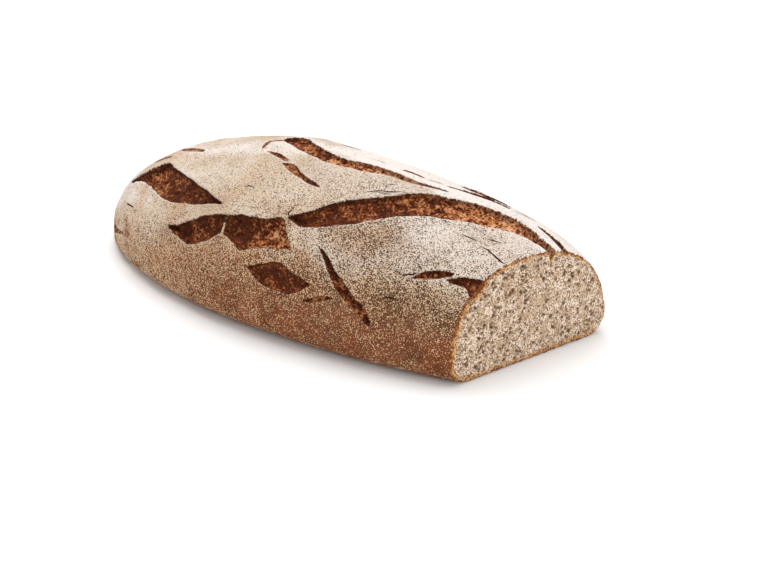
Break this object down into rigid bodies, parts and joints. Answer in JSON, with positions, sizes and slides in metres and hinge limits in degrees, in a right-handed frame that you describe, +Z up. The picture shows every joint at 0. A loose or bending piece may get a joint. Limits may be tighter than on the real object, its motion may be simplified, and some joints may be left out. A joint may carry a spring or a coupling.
{
  "type": "rye sourdough loaf",
  "caption": "Long oval rye sourdough loaf, flour-dusted and torn open along its crust, flat below, with its heel sliced off to show the crumb.",
  "frame": {"origin": "middle of the loaf's box, on the surface that its flat base stands on", "axes": "+X along the loaf from its rounded end to its sliced end, +Y towards its far side, +Z up"},
  "size_m": [0.3236, 0.15, 0.085],
  "materials": {
    "crust": "matt baked rye crust under a dusting of pale flour, red-brown low on the sides and dark brown in the tears, with a grey-beige porous crumb on the sliced face"
  },
  "bodies": {
    "root": {"loaf": "crust"}
  },
  "joints": []
}
